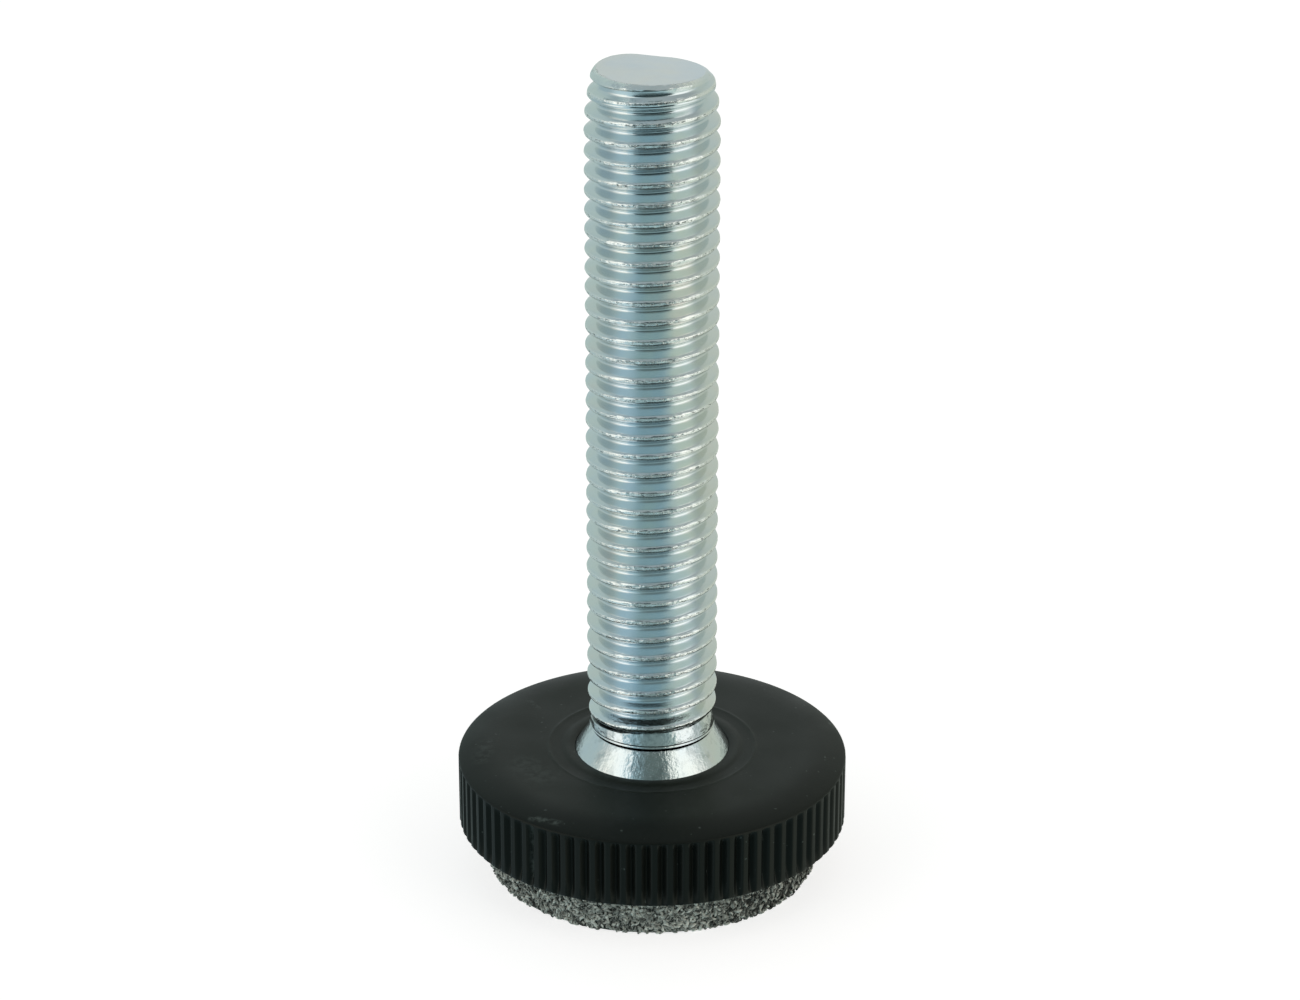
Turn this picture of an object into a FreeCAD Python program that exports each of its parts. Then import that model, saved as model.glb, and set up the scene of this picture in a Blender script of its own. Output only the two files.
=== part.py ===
import FreeCAD, Part
import math
import os

V = FreeCAD.Vector
os.makedirs("parts", exist_ok=True)

# Levelling foot: a threaded steel stud moulded into a round fluted plastic
# base, with a felt disc under the base.
# Millimetres. Origin: centre of the felt's underside. +Z: up the stud.

# ---- driving dimensions -------------------------------------------------

# felt disc
felt_r = 12.6            # disc radius
felt_t = 5.0             # disc thickness, 3.7 of it stands below the base
felt_edge = 0.25         # softened lower edge

# moulded base
base_r = 15.0            # outer radius, over the ribs
base_bottom_z = 3.7      # underside of the rim
base_top_z = 9.62        # flat part of the top, around the collar
crown_start_r = 11.8     # from here the top falls towards the edge
crown_rad = 9.0          # radius of that fall, in section
edge_rad = 0.22          # small rounding where the crown meets the side
bottom_edge = 0.15       # bevel at the lower edge of the side
recess_r = 12.75         # shallow recess that holds the felt
recess_floor_z = 5.0

# flutes round the side of the base
flute_count = 80
flute_rad = 0.34         # round groove section
flute_centre_r = 15.02   # groove axis, so the groove is 0.32 deep
flute_top_z = 8.92       # the grooves stop, round-ended, below the edge
flute_phase_deg = 0.68   # a rib stands at this angle from -Y

# stud: M10 x 1.5, drawn plain at the thread's major diameter
thread_r = 4.975         # major radius of a 6g external thread
thread_bottom_z = 12.80  # where the thread runs out into the neck
thread_length = 50.0     # full-diameter length
end_face_r = 3.85        # flat face at the free end
stud_top_z = 64.10       # end face, with a two-step end chamfer below it
end_step_r = 4.55        # where the lower, steeper step of the chamfer stops
end_step_z = 63.45
neck_r = 4.80            # blank neck under the thread
neck_bottom_z = 11.58
neck_lip = 0.18          # rounded lower lip of the neck
undercut_r = 4.25        # thin groove between neck and collar
undercut_h = 0.18
collar_top_r = 4.68      # conical collar
collar_half_angle = 34.5 # of the cone's surface from the axis
head_top_z = 8.10        # the collar's foot, inside the base
head_bottom_z = 6.20     # underside of the moulded-in head
head_af = 15.0           # hexagon across flats, stops the stud turning

# ---- helpers ------------------------------------------------------------


def p(r, z):
    return V(r, 0.0, z)


def seg(a, b):
    return Part.LineSegment(a, b).toShape()


def arc(a, m, b):
    return Part.Arc(a, m, b).toShape()


def arc_about(c_r, c_z, rad, a0, a1):
    # arc in the section plane about (c_r, c_z), angles in degrees from +r
    am = 0.5 * (a0 + a1)
    pts = [p(c_r + rad * math.cos(math.radians(a)),
             c_z + rad * math.sin(math.radians(a))) for a in (a0, am, a1)]
    return arc(*pts)


def turned(edges):
    # a full turn of a closed section about the Z axis
    face = Part.Face(Part.Wire(edges))
    return face.revolve(V(0, 0, 0), V(0, 0, 1), 360.0)


# ---- threaded stud ------------------------------------------------------

slope = math.tan(math.radians(collar_half_angle))
collar_top_z = neck_bottom_z - undercut_h
collar_foot_r = collar_top_r + (collar_top_z - head_top_z) * slope
chamfer_z = thread_bottom_z + thread_length
taper_h = 0.30           # short taper from the neck up to the thread

lip_c_r = neck_r - neck_lip
lip_c_z = neck_bottom_z + neck_lip

stud = turned([
    seg(p(0, head_top_z - 0.5), p(collar_foot_r, head_top_z - 0.5)),
    seg(p(collar_foot_r, head_top_z - 0.5), p(collar_foot_r, head_top_z)),
    seg(p(collar_foot_r, head_top_z), p(collar_top_r, collar_top_z)),
    seg(p(collar_top_r, collar_top_z), p(undercut_r, collar_top_z)),
    seg(p(undercut_r, collar_top_z), p(undercut_r, neck_bottom_z)),
    seg(p(undercut_r, neck_bottom_z), p(lip_c_r, neck_bottom_z)),
    arc_about(lip_c_r, lip_c_z, neck_lip, -90.0, 0.0),
    seg(p(neck_r, lip_c_z), p(neck_r, thread_bottom_z - taper_h)),
    seg(p(neck_r, thread_bottom_z - taper_h), p(thread_r, thread_bottom_z)),
    seg(p(thread_r, thread_bottom_z), p(thread_r, chamfer_z)),
    seg(p(thread_r, chamfer_z), p(end_step_r, end_step_z)),
    seg(p(end_step_r, end_step_z), p(end_face_r, stud_top_z)),
    seg(p(end_face_r, stud_top_z), p(0, stud_top_z)),
    seg(p(0, stud_top_z), p(0, head_top_z - 0.5)),
])

hex_r = head_af / math.sqrt(3.0)
hex_pts = [V(hex_r * math.cos(math.radians(60 * i)),
             hex_r * math.sin(math.radians(60 * i)), head_bottom_z)
           for i in range(6)]
hexagon = Part.Face(Part.makePolygon(hex_pts + [hex_pts[0]]))
head = hexagon.extrude(V(0, 0, head_top_z - head_bottom_z))
stud = stud.fuse(head).removeSplitter()
stud = stud.Solids[0]

# ---- fluted base --------------------------------------------------------

crown_c_z = base_top_z - crown_rad
edge_c_r = base_r - edge_rad
reach = crown_rad - edge_rad
dr = edge_c_r - crown_start_r
edge_c_z = crown_c_z + math.sqrt(reach * reach - dr * dr)
meet_deg = math.degrees(math.atan2(edge_c_z - crown_c_z, dr))

base = turned([
    seg(p(0, recess_floor_z), p(recess_r, recess_floor_z)),
    seg(p(recess_r, recess_floor_z), p(recess_r, base_bottom_z)),
    seg(p(recess_r, base_bottom_z), p(base_r - bottom_edge, base_bottom_z)),
    seg(p(base_r - bottom_edge, base_bottom_z),
        p(base_r, base_bottom_z + bottom_edge)),
    seg(p(base_r, base_bottom_z + bottom_edge), p(base_r, edge_c_z)),
    arc_about(edge_c_r, edge_c_z, edge_rad, 0.0, meet_deg),
    arc_about(crown_start_r, crown_c_z, crown_rad, meet_deg, 90.0),
    seg(p(crown_start_r, base_top_z), p(0, base_top_z)),
    seg(p(0, base_top_z), p(0, recess_floor_z)),
])

# round-bottomed grooves from the lower edge up to the plain rim
step = 360.0 / flute_count
grooves = []
for i in range(flute_count):
    # angle measured from -Y towards +X; a rib stands at flute_phase_deg
    a = math.radians(flute_phase_deg + (i + 0.5) * step)
    pos = V(flute_centre_r * math.sin(a), -flute_centre_r * math.cos(a),
            base_bottom_z - 1.0)
    straight = flute_top_z - flute_rad - pos.z
    groove = Part.makeCylinder(flute_rad, straight, pos, V(0, 0, 1))
    ball = Part.makeSphere(flute_rad, pos + V(0, 0, straight))
    grooves.append(groove.fuse(ball).removeSplitter())
base = base.cut(Part.makeCompound(grooves))

# the plastic is moulded round the stud's head and the foot of its collar
base = base.cut(stud)
base = base.Solids[0]

# ---- felt disc ----------------------------------------------------------

felt = turned([
    seg(p(0, 0), p(felt_r - felt_edge, 0)),
    arc_about(felt_r - felt_edge, felt_edge, felt_edge, -90.0, 0.0),
    seg(p(felt_r, felt_edge), p(felt_r, felt_t)),
    seg(p(felt_r, felt_t), p(0, felt_t)),
    seg(p(0, felt_t), p(0, 0)),
])
if felt.ShapeType != "Solid":
    felt = felt.Solids[0]

# ---- write the pieces ---------------------------------------------------

for name, shape in (("threaded_stud", stud), ("fluted_base", base),
                    ("felt_pad", felt)):
    print(name, shape.ShapeType, "valid", shape.isValid(),
          "volume %.1f" % shape.Volume,
          "box %.3f %.3f %.3f  %.3f %.3f %.3f" % (
              shape.BoundBox.XMin, shape.BoundBox.YMin, shape.BoundBox.ZMin,
              shape.BoundBox.XMax, shape.BoundBox.YMax, shape.BoundBox.ZMax))
    shape.exportStep("parts/%s.step" % name)
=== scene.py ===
import math

import bmesh
import bpy
import numpy as np
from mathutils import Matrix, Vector, noise


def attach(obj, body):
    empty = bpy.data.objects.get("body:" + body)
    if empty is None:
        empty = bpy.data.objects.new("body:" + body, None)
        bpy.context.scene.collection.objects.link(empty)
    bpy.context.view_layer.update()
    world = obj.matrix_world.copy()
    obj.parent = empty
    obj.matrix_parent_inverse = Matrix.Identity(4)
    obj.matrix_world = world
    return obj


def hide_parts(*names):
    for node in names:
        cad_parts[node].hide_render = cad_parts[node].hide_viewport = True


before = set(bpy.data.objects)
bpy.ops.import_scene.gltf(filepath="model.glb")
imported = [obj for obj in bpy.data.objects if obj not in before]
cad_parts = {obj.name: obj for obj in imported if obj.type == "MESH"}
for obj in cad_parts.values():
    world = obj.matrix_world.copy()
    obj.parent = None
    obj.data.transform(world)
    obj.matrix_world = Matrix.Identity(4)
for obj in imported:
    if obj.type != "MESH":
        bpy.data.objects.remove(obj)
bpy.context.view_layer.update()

# A levelling foot: zinc-plated threaded stud, black fluted plastic base, grey
# felt disc. Shapes are laid out in millimetres and written in metres.

scene = bpy.context.scene
MM = 0.001
TAU = 2.0 * math.pi


# ------------------------------------------------------------------ camera

cam_data = bpy.data.cameras.new("camera")
cam_data.sensor_fit = "HORIZONTAL"
cam_data.sensor_width = 36.0
cam_data.lens = 3808.4 * 36.0 / 1300.0
cam_data.clip_start = 0.01
cam_data.clip_end = 20.0
cam = bpy.data.objects.new("camera", cam_data)
cam.location = (-0.000161, -0.26285, 0.14490)
cam.rotation_euler = (math.radians(90.0 - 23.571), 0.0, 0.0)
scene.collection.objects.link(cam)
scene.camera = cam


# ----------------------------------------------------------------- helpers

def smoothstep(x):
    x = np.clip(x, 0.0, 1.0)
    return x * x * (3.0 - 2.0 * x)


def to_object(name, verts_mm, faces, sharp_deg, marks=None):
    """A piece from vertices in mm. Doubles are merged, normals point out,
    and edges that turn by more than sharp_deg are sharp. marks are named
    values, one per vertex, that the materials read."""
    bm = bmesh.new()
    me = bpy.data.meshes.new(name)
    me.from_pydata((np.asarray(verts_mm) * MM).tolist(), [], faces)
    for key, values in (marks or {}).items():
        att = me.attributes.new(key, "FLOAT", "POINT")
        att.data.foreach_set("value", np.asarray(values, np.float32))
    bm.from_mesh(me)
    bmesh.ops.remove_doubles(bm, verts=bm.verts, dist=2e-7)
    bmesh.ops.dissolve_degenerate(bm, edges=bm.edges, dist=1e-8)
    loose = [v for v in bm.verts if not v.link_faces]
    bmesh.ops.delete(bm, geom=loose, context="VERTS")
    bmesh.ops.recalc_face_normals(bm, faces=bm.faces)
    limit = math.radians(sharp_deg)
    for f in bm.faces:
        f.smooth = True
    for e in bm.edges:
        if len(e.link_faces) == 2 and e.calc_face_angle() > limit:
            e.smooth = False
    bm.to_mesh(me)
    bm.free()
    ob = bpy.data.objects.new(name, me)
    scene.collection.objects.link(ob)
    return ob


def ring(r, z, theta):
    """Vertices of one turn; r may be a number or one value per column."""
    r = np.broadcast_to(np.asarray(r, float), theta.shape)
    z = np.broadcast_to(np.asarray(z, float), theta.shape)
    return np.stack([r * np.cos(theta), r * np.sin(theta), z], axis=1)


def stack(rows, first):
    """Quads between successive closed rows of the same column count."""
    quads = []
    n = len(rows[0])
    for k in range(len(rows) - 1):
        a, b = first + k * n, first + (k + 1) * n
        i = np.arange(n)
        j = (i + 1) % n
        quads.append(np.stack([a + i, a + j, b + j, b + i], axis=1))
    return np.concatenate(quads)


def fan(start, count, centre):
    return [(start + i, start + (i + 1) % count, centre) for i in range(count)]


# ----------------------------------------------------------- threaded stud

PITCH = 1.5
THREAD_PHASE = 0.14        # height of a crest at angle zero
R_CREST, R_ROOT = 4.975, 4.176
R_NECK = 4.80
Z_END, Z_JOIN = 63.95, 11.86
COLS = 80

# half of one thread in section: round groove floor, 60 degree flank, round
# crest; distance from the groove's middle and height above its floor
GROOVE_RAD, CREST_RAD = 0.18, 0.32
half, tall = [], []
for deg in (0.0, 12.0, 24.0, 36.0, 48.0, 60.0):
    half.append(GROOVE_RAD * math.sin(math.radians(deg)))
    tall.append(GROOVE_RAD * (1.0 - math.cos(math.radians(deg))))
CREST_FLAT = 0.0
rise = 0.75 - CREST_FLAT - half[-1] - CREST_RAD * math.sin(math.radians(60.0))
foot = (half[-1], tall[-1])
for k in (0.25, 0.50, 0.75):
    half.append(foot[0] + rise * k)
    tall.append(foot[1] + rise * k * math.tan(math.radians(60.0)))
tip = foot[1] + rise * math.tan(math.radians(60.0)) + 0.5 * CREST_RAD
for deg in (60.0, 50.0, 40.0, 30.0, 21.0, 13.0, 6.0):
    half.append(0.75 - CREST_FLAT - CREST_RAD * math.sin(math.radians(deg)))
    tall.append(tip - CREST_RAD * (1.0 - math.cos(math.radians(deg))))
half.append(0.75)
tall.append(tip)
half, tall = np.array(half), np.array(tall) / tip
cut = sorted({round(0.5 + s * a / PITCH, 9) for a in half for s in (-1, 1)})
samples = np.array([c for c in cut if c < 0.9999])
N = len(samples)


def crest_limit(z):
    """The first and last threads are not fully formed."""
    return np.interp(z, [11.9, 12.3, 13.27, 14.77, 16.3, 60.0, 60.89, 61.64,
                         62.39, 63.14],
                     [4.80, 4.81, 4.90, 4.96, R_CREST, R_CREST, 4.90, 4.83,
                      4.69, 4.57])


def neck_top(t):
    """Height at which the last groove runs out into the neck."""
    return np.interp(np.degrees(t) % 360.0,
                     [0, 30, 60, 90, 135, 180, 205, 233, 250, 270, 315, 360],
                     [13.05, 13.0, 12.85, 12.55, 12.32, 12.30, 12.44, 12.66, 12.81,
                      12.95, 13.0, 13.05])


def root_limit(z, t):
    """The lowest grooves are a little deeper. Below the last one the neck
    widens downwards in a long flat curve."""
    up = np.clip(z - Z_JOIN, 0.0, 2.0) + 1.2
    bead = R_NECK + np.sqrt(36.0 - up * up) - math.sqrt(36.0 - 1.44)
    floor_r = R_ROOT - 0.09 * smoothstep((16.5 - z) / 2.8)
    return floor_r + (bead - floor_r) * smoothstep((neck_top(t) - z) / 0.14)


def end_limit(z, t):
    """Uneven chamfer at the free end; fuller where the last crest meets it."""
    full = np.interp(np.degrees(t) % 360.0, [0, 100, 120, 135, 160, 180, 205, 360],
                     [0, 0, 0.7, 1, 1, 0.5, 0, 0])
    return np.interp(z - 0.16 * full,
                     [62.80, 63.10, 63.40, 63.59, 63.76, 63.86, 63.95],
                     [5.20, 4.62, 4.50, 4.38, 4.21, 4.05, 3.83])


def end_lift(z, t):
    """The free end was cut a little out of square."""
    up = np.interp(np.degrees(t) % 360.0,
                   [0, 33, 80, 92, 101, 112, 124, 135, 155, 172, 190, 215, 250,
                    290, 330, 360],
                   [-0.16, -0.20, -0.20, -0.13, -0.04, 0.04, 0.09, 0.12, 0.12,
                    0.06, -0.02, -0.05, -0.02, -0.02, -0.10, -0.16])
    return up * smoothstep((z - 62.5) / 1.45)


low_turn = 6
turns = 38
rows_j = np.arange(turns * N)
cols_i = np.arange(COLS)
s_row = samples[rows_j % N]
z = (PITCH * (rows_j // N + low_turn + s_row)[:, None]
     + PITCH * (cols_i / COLS)[None, :] + THREAD_PHASE)
theta = np.broadcast_to(TAU * cols_i / COLS, z.shape)
a_row = np.abs(s_row - 0.5) * PITCH
# the last groove, at the free end, is wider on its lower side
below = (s_row < 0.5)[:, None]
groove_z = z - ((s_row - 0.5) * PITCH)[:, None]
widen = np.where(below, 0.26 * smoothstep((groove_z - 62.85) / 0.55), 0.0)
a = np.clip((a_row[:, None] - widen) * 0.75 / (0.75 - widen), 0.0, 0.75)
h = np.interp(a, half, tall)
# the thread ends at the neck
over_neck = z - neck_top(theta)
h_full = h
h = h * smoothstep((over_neck + 0.10) / 0.16)

# the rolled crest has a fine broken seam along its top and small ripples
rng = np.random.RandomState(11)
per_turn = rng.normal(0.5, 0.7, (turns + 1, COLS)).clip(0.0, 1.8)
seam = np.repeat(per_turn[:turns], N, axis=0)
ripple = np.repeat(rng.normal(0.0, 1.0, (turns, COLS)), N, axis=0)
ripple = (np.roll(ripple, 1, 1) + ripple + np.roll(ripple, -1, 1)) / 3.0
near_crest = np.exp(-((0.75 - a_row) / 0.020) ** 2)[:, None]

zc = np.clip(z, Z_JOIN, Z_END)
root = root_limit(zc, theta)
crest = np.maximum(crest_limit(zc), root)
r = root + (crest - root) * h
# close to the free end the crests are low but their lower flanks keep their
# slope
low_flank = (s_row > 0.5)[:, None] * smoothstep((zc - 60.6) / 1.0)
full = root + (R_CREST - root) * h
cut_r = 0.5 * (full + crest - np.sqrt((full - crest) ** 2 + 0.10 ** 2))
r = r + (np.maximum(cut_r, r) - r) * low_flank
plain = smoothstep((zc - 13.0) / 1.0) * smoothstep((63.0 - zc) / 0.5)
r = r - 0.032 * seam * near_crest * plain
r = r + 0.016 * ripple * (h ** 3) * plain
lim = end_limit(zc, theta)
r = np.minimum(0.5 * (r + lim - np.sqrt((r - lim) ** 2 + 0.035 ** 2)), R_CREST)
r = np.where(zc >= Z_END, lim, r)
r[zc <= Z_JOIN] = R_NECK
zc = zc + end_lift(zc, theta)
verts = np.stack([r * np.cos(theta), r * np.sin(theta), zc], axis=2)
verts = verts.reshape(-1, 3)
wide = np.where(s_row < 0.5, 0.16, 0.12)
crest_mark = np.exp(-((0.75 - a_row) / wide) ** 4)[:, None] * smoothstep(
    (over_neck - 0.10) / 0.30)
# the narrow slit where the last groove runs into the neck is marked for painted shade
slit_shade_mark = (smoothstep((over_neck + 0.15) / 0.06) * smoothstep((0.52 - h_full) / 0.12)
             * (over_neck < 0.60)).reshape(-1)
# the end's rim is smooth at the sides and knocked about in two places in front
knocked = np.interp(np.degrees(theta), [0, 205, 228, 240, 252, 270, 286, 300, 318, 340, 360],
                    [0.15, 0.15, 0.6, 0.9, 0.6, 0.3, 0.6, 0.9, 0.7, 0.2, 0.15])
crest_mark = np.maximum(crest_mark, knocked * smoothstep((z - 63.45) / 0.22)).reshape(-1)

jj, ii = np.meshgrid(np.arange(turns * N - 1), cols_i, indexing="ij")
nxt_i = (ii + 1) % COLS
nxt_j = np.where(ii == COLS - 1, jj + N, jj)
ok = nxt_j + 1 < turns * N
jj, ii, nxt_i, nxt_j = jj[ok], ii[ok], nxt_i[ok], nxt_j[ok]
quads = np.stack([jj * COLS + ii, nxt_j * COLS + nxt_i,
                  (nxt_j + 1) * COLS + nxt_i, (jj + 1) * COLS + ii], axis=1)
zq = z.reshape(-1)[quads]
keep = ~((zq >= Z_END - 1e-9).all(1) | (zq <= Z_JOIN + 1e-9).all(1))
quads = quads[keep]
stud_verts = [verts]
stud_faces = quads.tolist()
count = len(verts)

th = TAU * cols_i / COLS
# flat end of the stud
lift = end_lift(np.full(COLS, Z_END), th)
rim_r = end_limit(np.full(COLS, Z_END), th)
cap = [ring(rim_r, Z_END + lift, th)]
for share, dz in ((0.985, 0.004), (0.955, 0.006), (0.85, 0.007), (0.65, 0.006),
                  (0.42, 0.004), (0.2, 0.003)):
    cap.append(ring(rim_r * share, Z_END + dz + lift * share ** 1.3, th))
stud_verts += cap + [np.array([[0.0, 0.0, Z_END + 0.003]])]
stud_faces += stack(cap, count).tolist()
stud_faces += fan(count + (len(cap) - 1) * COLS, COLS, count + len(cap) * COLS)
count += len(cap) * COLS + 1

# neck, undercut, collar and the head inside the base
CONE_TOP_R, CONE_TOP_Z = 4.68, 11.40
cone = lambda zz: CONE_TOP_R + (CONE_TOP_Z - zz) * math.tan(math.radians(34.5))
hexagon = 7.5 / np.cos((th % (TAU / 6)) - TAU / 12)
low = [ring(R_NECK, Z_JOIN, th), ring(4.775, 11.815, th), ring(4.757, 11.775, th),
       ring(4.757, 11.745, th), ring(4.772, 11.715, th), ring(4.797, 11.688, th),
       ring(4.815, 11.662, th), ring(4.818, 11.640, th), ring(4.80, 11.612, th),
       ring(4.765, 11.592, th), ring(4.70, 11.582, th), ring(4.55, 11.58, th),
       ring(4.28, 11.575, th), ring(4.25, 11.555, th),
       ring(4.25, 11.425, th), ring(4.28, 11.405, th), ring(4.55, 11.40, th),
       ring(4.62, 11.395, th), ring(4.675, 11.37, th), ring(4.72, 11.33, th)]
low += [ring(cone(zz), zz, th) for zz in np.linspace(11.22, 8.10, 14)]
low += [ring(hexagon - 0.12, 8.10, th), ring(hexagon, 7.98, th),
        ring(hexagon, 6.32, th), ring(hexagon - 0.12, 6.20, th),
        ring(3.0, 6.20, th)]
stud_verts += low + [np.array([[0.0, 0.0, 6.20]])]
stud_faces += stack(low, count).tolist()
stud_faces += fan(count + (len(low) - 1) * COLS, COLS, count + len(low) * COLS)

stud_verts = np.concatenate(stud_verts)
mark = np.zeros(len(stud_verts))
mark[:len(crest_mark)] = crest_mark
slit = np.zeros(len(stud_verts))
slit[:len(slit_shade_mark)] = slit_shade_mark
stud = to_object("stud", stud_verts, stud_faces, 40.0, {"crest": mark, "slit": slit})


# ------------------------------------------------------------- fluted base

FLUTES = 80
PER = 15
BCOLS = FLUTES * PER
R_BASE = 15.0
FLUTE_HALF, FLUTE_DEEP, FLUTE_FADE, FLUTE_END = 0.37, 0.42, 8.30, 8.92
TOP_Z, CROWN_R0, CROWN_RAD, EDGE_RAD = 9.62, 11.8, 9.0, 0.22
crown_z = TOP_Z - CROWN_RAD
edge_r = R_BASE - EDGE_RAD
edge_z = crown_z + math.sqrt((CROWN_RAD - EDGE_RAD) ** 2
                             - (edge_r - CROWN_R0) ** 2)
meet = math.atan2(edge_z - crown_z, edge_r - CROWN_R0)

bi = np.arange(BCOLS)
bth = TAU * bi / BCOLS
# angle from the nearest groove's middle, as a distance round the rim
groove_phase = math.radians(-90.0 + 0.68) + TAU / FLUTES / 2
off = (bth - groove_phase + TAU / FLUTES / 2) % (TAU / FLUTES) - TAU / FLUTES / 2
across = off * R_BASE


def fluted(r, zz):
    """Radius round one turn, with the grooves cut in; they run out upwards."""
    up = np.clip((zz - FLUTE_FADE) / (FLUTE_END - FLUTE_FADE), 0.0, 1.0)
    fall = 1.0 - np.minimum(np.abs(across) / FLUTE_HALF, 1.0) ** 1.35
    deep = FLUTE_DEEP * math.sqrt(1.0 - up * up) * np.interp(
        zz, [3.70, 4.05, 4.5, 5.0], [0.30, 0.55, 0.90, 1.0])
    return np.minimum(r, R_BASE - deep * fall)


brow = []
# underside of the base: recess for the felt, then the rim's lower face
for rr, zz in [(0.6, 5.0), (6.0, 5.0), (12.0, 5.0), (12.72, 5.0),
               (12.75, 4.97), (12.75, 3.80), (12.80, 3.73), (12.88, 3.70),
               (14.3, 3.70)]:
    brow.append(ring(rr, zz, bth))
for rr, zz in [(14.86, 3.70), (14.92, 3.72), (14.97, 3.76), (15.0, 3.82),
               (15.0, 4.05), (15.0, 4.5), (15.0, 5.0), (15.0, 7.6), (15.0, 8.25),
               (15.0, 8.40), (15.0, 8.52), (15.0, 8.62), (15.0, 8.70),
               (15.0, 8.76), (15.0, 8.80), (15.0, 8.84), (15.0, edge_z)]:
    brow.append(ring(fluted(rr, zz), zz, bth))
for k in (0.15, 0.3, 0.5, 0.75, 1.0):
    an = meet * k
    rr = edge_r + EDGE_RAD * math.cos(an)
    zz = edge_z + EDGE_RAD * math.sin(an)
    brow.append(ring(fluted(rr, zz), zz, bth))
for k in (0.12, 0.28, 0.46, 0.64, 0.82, 1.0):
    an = meet + (math.pi / 2 - meet) * k
    brow.append(ring(CROWN_R0 + CROWN_RAD * math.cos(an),
                     crown_z + CROWN_RAD * math.sin(an), bth))
# top face with faint turned rings round the collar
for rr, dz in [(11.0, 0.0), (10.0, 0.0), (9.0, 0.0), (8.30, 0.0),
               (8.12, 0.002), (8.05, 0.016), (7.99, 0.024), (7.93, 0.016),
               (7.86, 0.0), (7.55, -0.018), (7.15, -0.038), (7.00, -0.032),
               (6.85, 0.000), (6.65, 0.030), (6.45, 0.036), (6.25, 0.018),
               (6.10, -0.012), (6.02, -0.030), (5.97, -0.050)]:
    brow.append(ring(rr, TOP_Z + dz, bth))
# down the collar and round the stud's head
gap = 0.03
for zz in (9.54, 9.2, 8.7, 8.16):
    brow.append(ring(cone(zz) + gap, zz, bth))
bhex = 7.5 / np.cos((bth % (TAU / 6)) - TAU / 12) + gap
for rr, zz in [(bhex, 8.13), (bhex, 6.17), (1.0, 6.17)]:
    brow.append(ring(rr, zz, bth))
nb = len(brow)
base_verts = brow + [np.array([[0.0, 0.0, 6.17]]), np.array([[0.0, 0.0, 5.0]])]
base_faces = stack(brow, 0).tolist()
base_faces += fan((nb - 1) * BCOLS, BCOLS, nb * BCOLS)
base_faces += fan(0, BCOLS, nb * BCOLS + 1)
base = to_object("base", np.concatenate(base_verts), base_faces, 50.0)


# --------------------------------------------------------------- felt disc

R_FELT = 12.48
FCOLS = 520
fi = np.arange(FCOLS)
fth = TAU * fi / FCOLS


def lump(x, y, zz, scale, seed):
    return noise.noise(Vector((x * scale + seed, y * scale - seed, zz * scale)))


def flare(zz):
    return 0.20 * math.exp(-(zz / 0.8) ** 2)


def felt_row(r0, z0, out, up):
    """One turn of the felt's skin, pushed in and out by matted lumps."""
    pts = []
    for t in fth:
        c, s = math.cos(t), math.sin(t)
        x, y = r0 * c, r0 * s
        d = (0.07 * lump(x, y, z0, 0.5, 3.0) + 0.09 * lump(x, y, z0, 2.0, 17.0)
             + 0.06 * lump(x, y, z0, 4.2, 41.0))
        rr = r0 + out * (d + flare(z0))
        pts.append((rr * c, rr * s, max(0.0, z0 + up * d)))
    return np.array(pts)


frow = []
for rr in (4.0, 7.5, 10.0, 11.2, 11.8):
    frow.append(felt_row(rr, 0.06, 0.0, 0.5))
for rr, zz in [(12.20, 0.06), (12.38, 0.08), (12.46, 0.16)]:
    frow.append(felt_row(rr, zz, 0.8, 0.6))
for zz in np.linspace(0.28, 4.2, 34):
    frow.append(felt_row(R_FELT, zz, 1.0, 0.3))
for rr, zz in [(12.4, 4.6), (12.4, 4.95), (12.0, 4.98), (6.0, 4.98)]:
    frow.append(ring(rr, zz, fth))
nf = len(frow)
felt_verts = [np.concatenate(frow), np.array([[0.0, 0.0, 0.05]]),
              np.array([[0.0, 0.0, 4.98]])]
felt_faces = stack(frow, 0).tolist()
felt_faces += fan(0, FCOLS, nf * FCOLS)
felt_faces += fan((nf - 1) * FCOLS, FCOLS, nf * FCOLS + 1)
skin_count = nf * FCOLS + 2

# matted tufts lying on the skin: curved, tapered strands of mixed greys
rng = np.random.RandomState(5)
strand_verts, strand_faces, strand_tone = [], [], []
SIDES, STEPS = 4, 4


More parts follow.
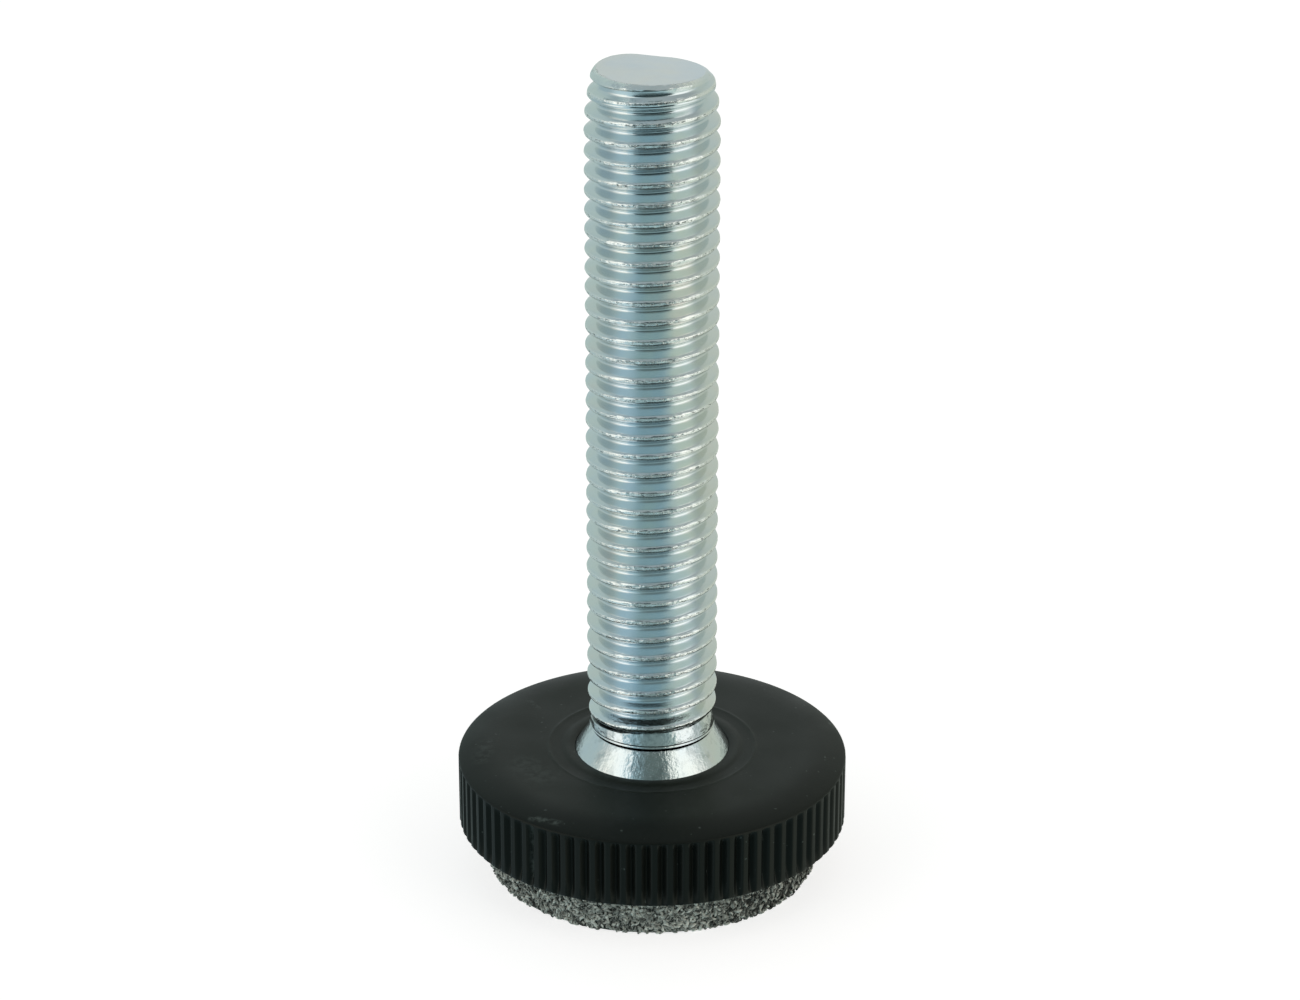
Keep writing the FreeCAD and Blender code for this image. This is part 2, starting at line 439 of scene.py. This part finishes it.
def strand(t0, z0, lean, length, thick, lift, bend, tone):
    """A short curved tuft that starts at angle t0 and height z0."""
    first = skin_count + len(strand_verts)
    path = []
    t, zz, a = t0, z0, lean
    for k in range(STEPS):
        u = k / (STEPS - 1)
        rr = (R_FELT + flare(zz) - 0.03
              + lift * math.sin(math.pi * (0.10 + 0.80 * u)))
        low_edge = 0.40 - zz
        if low_edge > 0.0:
            rr -= 0.35 * low_edge * low_edge
        path.append((rr * math.cos(t), rr * math.sin(t), zz))
        seg = length / (STEPS - 1)
        t += seg * math.cos(a) / R_FELT
        zz += seg * math.sin(a)
        zz = min(max(zz, thick + 0.005), 4.2)
        a += bend / (STEPS - 1)
    path = np.array(path)
    for k in range(STEPS):
        d = path[min(k + 1, STEPS - 1)] - path[max(k - 1, 0)]
        d = d / max(np.linalg.norm(d), 1e-6)
        outw = np.array([path[k][0], path[k][1], 0.0])
        outw /= np.linalg.norm(outw)
        side = np.cross(d, outw)
        side /= max(np.linalg.norm(side), 1e-6)
        nrm = np.cross(side, d)
        u = k / (STEPS - 1)
        w = thick * (0.30 + 0.70 * math.sin(math.pi * (0.10 + 0.80 * u)))
        for q in range(SIDES):
            an = TAU * q / SIDES
            p = path[k] + w * (math.cos(an) * side + 0.8 * math.sin(an) * nrm)
            p[2] = max(p[2], 0.0)
            strand_verts.append(p)
            strand_tone.append(tone)
    for k in range(STEPS - 1):
        for q in range(SIDES):
            a0 = first + k * SIDES + q
            a1 = first + k * SIDES + (q + 1) % SIDES
            strand_faces.append((a0, a1, a1 + SIDES, a0 + SIDES))
    strand_faces.append(tuple(first + q for q in reversed(range(SIDES))))
    last = first + (STEPS - 1) * SIDES
    strand_faces.append(tuple(last + q for q in range(SIDES)))


for k in range(5000):
    deep = rng.rand()
    shade = rng.choice([rng.uniform(0.06, 0.22), rng.uniform(0.28, 0.50),
                        rng.uniform(0.50, 0.88)], p=[0.18, 0.40, 0.42])
    strand(rng.uniform(0, TAU), rng.uniform(0.07, 3.85),
           rng.uniform(-1.4, 1.4) + (math.pi if rng.rand() < 0.5 else 0.0),
           rng.uniform(0.25, 0.70), rng.uniform(0.075, 0.140),
           0.01 + 0.12 * deep, rng.normal(0, 2.0), float(shade))

# the skin gets tone 0, which paints it darkest: painted shade between the tufts
tone = np.concatenate([np.zeros(skin_count), np.array(strand_tone)])
felt = to_object("felt", np.concatenate(felt_verts + [np.array(strand_verts)]),
                 felt_faces + strand_faces, 181.0, {"tone": tone})


# --------------------------------------------------------------- materials

class Graph:
    """Small helper that adds nodes and links them by socket."""

    def __init__(self, tree):
        self.tree = tree
        tree.nodes.clear()

    def node(self, kind, ins=None, **props):
        n = self.tree.nodes.new(kind)
        for k, v in props.items():
            setattr(n, k, v)
        for k, v in (ins or {}).items():
            self.put(n, k, v)
        return n

    def put(self, n, key, v):
        sock = n.inputs[key]
        if isinstance(v, bpy.types.NodeSocket):
            self.tree.links.new(v, sock)
        else:
            sock.default_value = v

    def math(self, op, a, b=0.0, clamp=False):
        n = self.node("ShaderNodeMath", {0: a, 1: b}, operation=op)
        n.use_clamp = clamp
        return n.outputs[0]

    def remap(self, v, a, b, c=0.0, d=1.0, smooth=True):
        n = self.node("ShaderNodeMapRange",
                      {"Value": v, "From Min": a, "From Max": b,
                       "To Min": c, "To Max": d})
        n.interpolation_type = "SMOOTHSTEP" if smooth else "LINEAR"
        return n.outputs["Result"]

    def noise(self, vec, scale, detail=2.0, rough=0.5, distort=0.0):
        n = self.node("ShaderNodeTexNoise",
                      {"Vector": vec, "Scale": scale, "Detail": detail,
                       "Roughness": rough, "Distortion": distort})
        return n.outputs["Fac"]

    def ramp(self, fac, stops):
        n = self.node("ShaderNodeValToRGB", {"Fac": fac})
        el = n.color_ramp.elements
        while len(el) < len(stops):
            el.new(0.5)
        for e, (pos, col) in zip(el, stops):
            e.position = pos
            e.color = (*col, 1.0)
        return n.outputs["Color"]

    def mix(self, fac, a, b, blend="MIX"):
        n = self.node("ShaderNodeMix", data_type="RGBA", blend_type=blend)
        self.put(n, 0, fac)
        self.put(n, 6, a if isinstance(a, bpy.types.NodeSocket) else (*a, 1.0))
        self.put(n, 7, b if isinstance(b, bpy.types.NodeSocket) else (*b, 1.0))
        return n.outputs[2]

    def bump(self, height, strength, dist, normal=None):
        ins = {"Height": height, "Strength": strength, "Distance": dist}
        if normal is not None:
            ins["Normal"] = normal
        return self.node("ShaderNodeBump", ins).outputs["Normal"]

    def scaled(self, vec, s):
        return self.node("ShaderNodeVectorMath", {0: vec, 1: s},
                         operation="MULTIPLY").outputs[0]

    def distance(self, vec, point):
        return self.node("ShaderNodeVectorMath", {0: vec, 1: point},
                         operation="DISTANCE").outputs["Value"]


def material(name):
    m = bpy.data.materials.new(name)
    m.use_nodes = True
    g = Graph(m.node_tree)
    bsdf = g.node("ShaderNodeBsdfPrincipled")
    out = g.node("ShaderNodeOutputMaterial")
    g.tree.links.new(bsdf.outputs[0], out.inputs[0])
    co = g.node("ShaderNodeTexCoord").outputs["Object"]
    mm = g.scaled(co, (1000.0, 1000.0, 1000.0))
    return m, g, bsdf, mm


# bright zinc with a thin uneven passivation tint
zinc, g, bsdf, mm = material("zinc")
bsdf.inputs["Metallic"].default_value = 1.0
x, y, zz = g.node("ShaderNodeSeparateXYZ", {0: mm}).outputs
rad = g.math("SQRT", g.math("ADD", g.math("MULTIPLY", x, x),
                            g.math("MULTIPLY", y, y)))
crest = g.node("ShaderNodeAttribute", attribute_name="crest").outputs["Fac"]
tint = g.noise(g.scaled(mm, (1.0, 1.0, 0.35)), 0.20, 3.0, 0.55)
colour = g.ramp(tint, [(0.30, (0.70, 0.77, 0.815)), (0.45, (0.745, 0.785, 0.80)),
                       (0.57, (0.78, 0.80, 0.77)), (0.72, (0.82, 0.78, 0.74))])
blot = g.noise(mm, 1.3, 4.0, 0.6)
colour = g.mix(g.remap(blot, 0.45, 0.75, 0.0, 0.30), colour, (0.73, 0.74, 0.74))
colour = g.mix(g.math("MULTIPLY", crest, 0.85), colour, (0.96, 0.945, 0.90))
# dark broken specks painted where the crest's seam is open: painted shade inside the open
# seam
spot = g.noise(g.scaled(mm, (1.0, 1.0, 2.2)), 2.9, 2.0, 0.6)
spot = g.math("MULTIPLY", g.remap(spot, 0.58, 0.66), g.remap(crest, 0.80, 0.99))
spot = g.math("MULTIPLY", spot, g.remap(zz, 63.3, 62.9))
colour = g.mix(g.math("MULTIPLY", spot, 0.70), colour, (0.12, 0.14, 0.14))
# soft grey smudges on the collar
smudge = g.math("MULTIPLY", g.remap(g.noise(mm, 0.9, 4.0, 0.6), 0.50, 0.68),
                g.remap(zz, 11.42, 11.38))
colour = g.mix(g.math("MULTIPLY", smudge, 0.45), colour, (0.40, 0.43, 0.43))
# and darker handling stains on the blank neck
stain = g.math("MULTIPLY", g.remap(g.noise(mm, 1.4, 4.0, 0.65), 0.44, 0.60), g.math(
    "MULTIPLY", g.remap(zz, 13.0, 12.8), g.remap(zz, 11.66, 11.80)))
colour = g.mix(g.math("MULTIPLY", stain, 0.45), colour, (0.34, 0.38, 0.38))
# the undercut below the neck and the slit where the last groove runs out are painted near
# black: painted shade in these recesses
slot = g.math("MULTIPLY", g.remap(rad, 4.765, 4.70), g.math(
    "MULTIPLY", g.remap(zz, 11.365, 11.395), g.remap(zz, 11.605, 11.588)))
slot = g.math("MAXIMUM", slot, g.math("MULTIPLY", g.node(
    "ShaderNodeAttribute", attribute_name="slit").outputs["Fac"], 0.9))
colour = g.mix(slot, colour, (0.012, 0.014, 0.013))
g.put(bsdf, "Base Color", colour)
neck = g.remap(zz, 15.6, 13.0)
grain = g.noise(mm, 9.0, 3.0, 0.6)
rough = g.remap(grain, 0.3, 0.75, 0.11, 0.20, False)
rough = g.math("MULTIPLY", rough, g.remap(zz, 18.5, 15.5, 1.0, 0.80))
scuff = g.remap(g.noise(mm, 3.2, 2.0, 0.6), 0.35, 0.65, 0.04, 0.20, False)
rough = g.math("ADD", rough, g.math("MULTIPLY", crest, scuff))
g.put(bsdf, "Roughness", rough)
lines = g.noise(g.scaled(mm, (0.7, 0.7, 14.0)), 1.0, 3.0, 0.6)
nrm = g.bump(lines, 0.08, 0.00002)
nrm = g.bump(grain, 0.08, 0.00002, nrm)
pits = g.noise(g.scaled(mm, (1.0, 1.0, 1.3)), 3.2, 3.0, 0.6)
nrm = g.bump(g.math("MULTIPLY", pits, neck), 1.0, 0.000028, nrm)
blank = g.math("MULTIPLY", g.remap(zz, 13.1, 12.9), g.remap(zz, 11.72, 11.86))
dents = g.noise(g.scaled(mm, (1.0, 1.0, 1.4)), 1.7, 1.0, 0.5)
nrm = g.bump(g.math("MULTIPLY", dents, blank), 1.0, 0.000055, nrm)
nrm = g.bump(g.math("MULTIPLY", spot, -1.0), 0.5, 0.00004, nrm)
hammered = g.noise(g.scaled(mm, (1.0, 1.0, 1.5)), 1.9, 3.0, 0.55)
patches = g.remap(g.noise(mm, 0.7, 2.0, 0.5), 0.36, 0.62, 0.25, 1.0)
nrm = g.bump(g.math("MULTIPLY", hammered, g.math("MULTIPLY", crest, patches)),
             1.0, 0.00013, nrm)
# drawn streaks and dimples on the collar
low_part = g.remap(zz, 11.42, 11.38)
around = g.node("ShaderNodeCombineXYZ",
                {0: g.math("DIVIDE", x, rad), 1: g.math("DIVIDE", y, rad),
                 2: g.math("MULTIPLY", zz, 0.07)}).outputs[0]
drawn = g.noise(around, 16.0, 3.0, 0.6)
dimple = g.noise(mm, 1.5, 2.0, 0.5)
nrm = g.bump(g.math("MULTIPLY", drawn, low_part), 1.0, 0.000022, nrm)
nrm = g.bump(g.math("MULTIPLY", dimple, low_part), 1.0, 0.00003, nrm)
g.put(bsdf, "Normal", nrm)
stud.data.materials.append(zinc)

# matt black moulded plastic with dust and handling marks
plastic, g, bsdf, mm = material("plastic")
x, y, zz = g.node("ShaderNodeSeparateXYZ", {0: mm}).outputs
rad = g.math("SQRT", g.math("ADD", g.math("MULTIPLY", x, x),
                            g.math("MULTIPLY", y, y)))
flat = g.scaled(mm, (1.0, 1.0, 0.0))
cloud = g.noise(mm, 0.22, 3.0, 0.5)
colour = g.ramp(cloud, [(0.30, (0.0060, 0.0080, 0.0058)),
                        (0.70, (0.0095, 0.0118, 0.0088))])
haze = g.remap(g.noise(mm, 0.30, 4.0, 0.6), 0.50, 0.78, 0.0, 0.6)
fine = g.remap(g.noise(mm, 6.0, 2.0, 0.5), 0.42, 0.75)
colour = g.mix(g.math("MULTIPLY", haze, fine), colour, (0.022, 0.026, 0.021))
# a little dust is caught on the rings round the collar
outer_ring = g.remap(g.math("ABSOLUTE", g.math("SUBTRACT", rad, 8.0)), 0.26, 0.05)
inner_ring = g.remap(g.math("ABSOLUTE", g.math("SUBTRACT", rad, 6.5)), 0.34, 0.08)
caught = g.math("MULTIPLY", g.math("MAXIMUM", outer_ring, inner_ring),
                g.remap(g.noise(mm, 0.9, 3.0, 0.6), 0.34, 0.62))
colour = g.mix(g.math("MULTIPLY", caught, 0.45), colour, (0.028, 0.033, 0.028))
# painted shade: from r 11.6 mm outwards the crown edge, the side and its grooves are painted
# blacker than the top
colour = g.mix(g.remap(rad, 11.6, 13.4, 0.0, 0.75), colour, (0.0016, 0.0022, 0.0016))
dust = g.remap(g.noise(mm, 2.6, 1.0, 0.4), 0.745, 0.80)
colour = g.mix(g.math("MULTIPLY", dust, 0.5), colour, (0.10, 0.11, 0.10))


def near_line(p, q, inner, outer):
    """1 on the line from p to q, falling to 0 at the outer distance."""
    p, q = Vector(p), Vector(q)
    pq = q - p
    rel = g.node("ShaderNodeVectorMath", {0: flat, 1: p},
                 operation="SUBTRACT").outputs[0]
    dot = g.node("ShaderNodeVectorMath", {0: rel, 1: pq / pq.length_squared},
                 operation="DOT_PRODUCT").outputs["Value"]
    t = g.math("ADD", dot, 0.0, clamp=True)
    along = g.node("ShaderNodeVectorMath", {0: pq, "Scale": t},
                   operation="SCALE").outputs[0]
    return g.remap(g.distance(rel, along), outer, inner)


patchy = g.remap(g.noise(mm, 1.6, 4.0, 0.65), 0.40, 0.62)
wear = [((-9.75, 7.43, 0), (-9.0, 6.2, 0), 0.05, 0.35, 0.55),
        ((-9.6, -3.6, 0), (-8.5, -5.4, 0), 0.3, 2.2, 0.22),
        ((-13.2, -2.2, 0), (-12.7, 0.2, 0), 0.1, 1.2, 0.25),
        ((-9.0, -11.36, 0), (-6.9, -12.30, 0), 0.05, 0.40, 0.80),
        ((14.1, 4.2, 0), (13.9, 5.0, 0), 0.05, 0.35, 0.60)]
for p, q, inner, outer, amount in wear:
    m = g.math("MULTIPLY", near_line(p, q, inner, outer), patchy)
    colour = g.mix(g.math("MULTIPLY", m, amount), colour, (0.085, 0.095, 0.085))
g.put(bsdf, "Base Color", colour)
grain = g.noise(mm, 10.0, 3.0, 0.6)
g.put(bsdf, "Roughness", g.remap(cloud, 0.3, 0.7, 0.40, 0.50, False))
bsdf.inputs["Specular IOR Level"].default_value = 0.24
bsdf.inputs["Specular Tint"].default_value = (1.0, 1.0, 0.88, 1.0)
g.put(bsdf, "Normal", g.bump(grain, 0.22, 0.00003))
base.data.materials.append(plastic)

# grey felt of mixed fibres, pale on the tufts; the skin between the tufts is painted dark as
# painted shade in the gaps, with paler worm-like fibres on it
wool, g, bsdf, mm = material("wool")
tone = g.node("ShaderNodeAttribute", attribute_name="tone").outputs["Fac"]
fleck = g.noise(mm, 3.2, 3.0, 0.6)
worm = g.remap(g.noise(mm, 3.6, 2.0, 0.55, 1.6), 0.43, 0.60, 0.0, 0.42)
shade = g.math("MAXIMUM", tone, worm)
shade = g.math("ADD", shade, g.remap(fleck, 0.3, 0.7, -0.18, 0.20, False))
# painted shade: the felt is painted darker towards both sides, a little on the left and much
# more on the right
fx = g.node("ShaderNodeSeparateXYZ", {0: mm}).outputs[0]
shade = g.math("SUBTRACT", shade, g.remap(fx, 2.0, 11.0, 0.0, 0.26))
shade = g.math("SUBTRACT", shade, g.remap(fx, -4.0, -11.0, -0.02, 0.05))
colour = g.ramp(shade, [(0.04, (0.035, 0.034, 0.030)),
                        (0.26, (0.17, 0.162, 0.143)),
                        (0.52, (0.52, 0.488, 0.43)),
                        (0.90, (0.96, 0.90, 0.80))])
g.put(bsdf, "Base Color", colour)
bsdf.inputs["Roughness"].default_value = 0.95
bsdf.inputs["Specular IOR Level"].default_value = 0.12
fuzz = g.noise(mm, 11.0, 3.0, 0.7)
g.put(bsdf, "Normal", g.bump(fuzz, 0.7, 0.00008))
felt.data.materials.append(wool)

for piece, node, slot in ((stud, "threaded_stud", "zinc_plated_steel"),
                          (base, "fluted_base", "black_plastic"),
                          (felt, "felt_pad", "grey_felt")):
    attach(piece, "root")
    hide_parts(node)


# --------------------------------------------------------- floor and light

me = bpy.data.meshes.new("floor")
me.from_pydata([(-3, -3, 0), (3, -3, 0), (3, 3, 0), (-3, 3, 0)], [],
               [(0, 1, 2, 3)])
floor = bpy.data.objects.new("floor", me)
scene.collection.objects.link(floor)
pale = bpy.data.materials.new("pale_floor")
pale.use_nodes = True
fb = pale.node_tree.nodes["Principled BSDF"]
fb.inputs["Base Color"].default_value = (0.66, 0.58, 0.56, 1.0)
fb.inputs["Roughness"].default_value = 0.9
fb.inputs["Specular IOR Level"].default_value = 0.0
fb.inputs["Emission Color"].default_value = (1.0, 1.0, 1.0, 1.0)
fb.inputs["Emission Strength"].default_value = 0.73
floor.data.materials.append(pale)
floor.visible_glossy = False
floor.visible_diffuse = False

# a light tent: pale walls and table, a dimmer cool ceiling, a dark opening on
# the viewer's side with a tall soft box on each side of it
world = bpy.data.worlds.new("tent")
scene.world = world
world.use_nodes = True
g = Graph(world.node_tree)
bg = g.node("ShaderNodeBackground")
wo = g.node("ShaderNodeOutputWorld")
g.tree.links.new(bg.outputs[0], wo.inputs[0])
d = g.node("ShaderNodeTexCoord").outputs["Generated"]
dx, dy, dz = g.node("ShaderNodeSeparateXYZ", {0: d}).outputs
az = g.math("MULTIPLY", g.math("ARCTAN2", dx, g.math("MULTIPLY", dy, -1.0)),
            180.0 / math.pi)
el = g.math("MULTIPLY", g.math("ARCSINE", dz), 180.0 / math.pi)
side = g.math("ABSOLUTE", az)

front = (0.31, 0.48, 0.53)
left = (0.52, 0.71, 0.79)
left_back = (0.45, 0.57, 0.585)
right = (0.68, 0.80, 0.74)
right_back = (0.52, 0.59, 0.53)
rear = (0.61, 0.67, 0.67)
rear_left = (0.48, 0.60, 0.59)
rear_right = (0.56, 0.62, 0.57)
col = g.mix(g.remap(az, -20.0, -54.0), front, left)
col = g.mix(g.remap(az, 14.0, 54.0), col, right)
col = g.mix(g.remap(az, -64.0, -94.0), col, left_back)
col = g.mix(g.remap(az, 74.0, 104.0), col, right_back)
low_left = g.math("MULTIPLY", g.remap(el, -4.0, -12.0), g.math(
    "MULTIPLY", g.remap(az, -78.0, -98.0), g.remap(az, -140.0, -122.0)))
col = g.mix(g.math("MULTIPLY", low_left, 0.45), col, (0.26, 0.40, 0.48))
col = g.mix(g.remap(az, -130.0, -150.0), col, rear_left)
col = g.mix(g.remap(az, 130.0, 150.0), col, rear_right)
col = g.mix(g.remap(side, 164.0, 175.0), col, rear)
ceiling = g.mix(g.remap(dx, -0.6, 0.6), (0.32, 0.41, 0.45), (0.38, 0.43, 0.43))
col = g.mix(g.remap(el, 40.0, 56.0), col, ceiling)
off_middle = g.math("ABSOLUTE", g.math("SUBTRACT", az, 3.0))
opening = g.math("MULTIPLY", g.remap(off_middle, 43.0, 16.0), g.math(
    "MULTIPLY", g.remap(el, 58.0, 47.0), g.remap(el, -28.0, -20.0)))
gloom = g.mix(g.remap(el, 26.0, 38.0), (0.175, 0.255, 0.265), (0.112, 0.155, 0.155))
col = g.mix(opening, col, gloom)
off_boxes = g.math("ADD", g.math("ABSOLUTE", g.math("ADD", az, 3.5)),
                   g.remap(el, 18.0, 34.0, 0.0, 9.0))
box = g.math("MULTIPLY", g.math(
    "MULTIPLY", g.remap(off_boxes, 44.0, 51.0), g.remap(side, 106.0, 90.0)), g.math(
    "MULTIPLY", g.remap(el, -16.0, -10.0), g.remap(el, 54.0, 46.0)))
lamp = g.mix(g.remap(el, 22.0, 38.0), (1.18, 1.21, 1.17), (1.17, 1.23, 1.20))
lamp = g.mix(g.remap(side, 66.0, 98.0), lamp, (0.48, 0.56, 0.56))
col = g.mix(box, col, lamp)
g.put(bg, "Color", col)
bg.inputs["Strength"].default_value = 1.0

# a small dark flag in front of the stud's free end, seen only in reflections
me = bpy.data.meshes.new("flag")
me.from_pydata([(-0.024, -0.032, 0.0540), (0.024, -0.032, 0.0540),
                (0.024, -0.032, 0.080), (-0.024, -0.032, 0.080)], [], [(0, 1, 2, 3)])
flag = bpy.data.objects.new("flag", me)
scene.collection.objects.link(flag)
dark = bpy.data.materials.new("dark_flag")
dark.use_nodes = True
db = dark.node_tree.nodes["Principled BSDF"]
db.inputs["Base Color"].default_value = (0.0, 0.0, 0.0, 1.0)
db.inputs["Roughness"].default_value = 1.0
db.inputs["Specular IOR Level"].default_value = 0.0
db.inputs["Emission Color"].default_value = (0.028, 0.046, 0.050, 1.0)
db.inputs["Emission Strength"].default_value = 1.0
flag.data.materials.append(dark)
flag.visible_camera = False
flag.visible_diffuse = False
flag.visible_shadow = False

scene.view_settings.view_transform = "Standard"
scene.view_settings.look = "None"
scene.view_settings.exposure = 0.0
scene.view_settings.gamma = 1.0
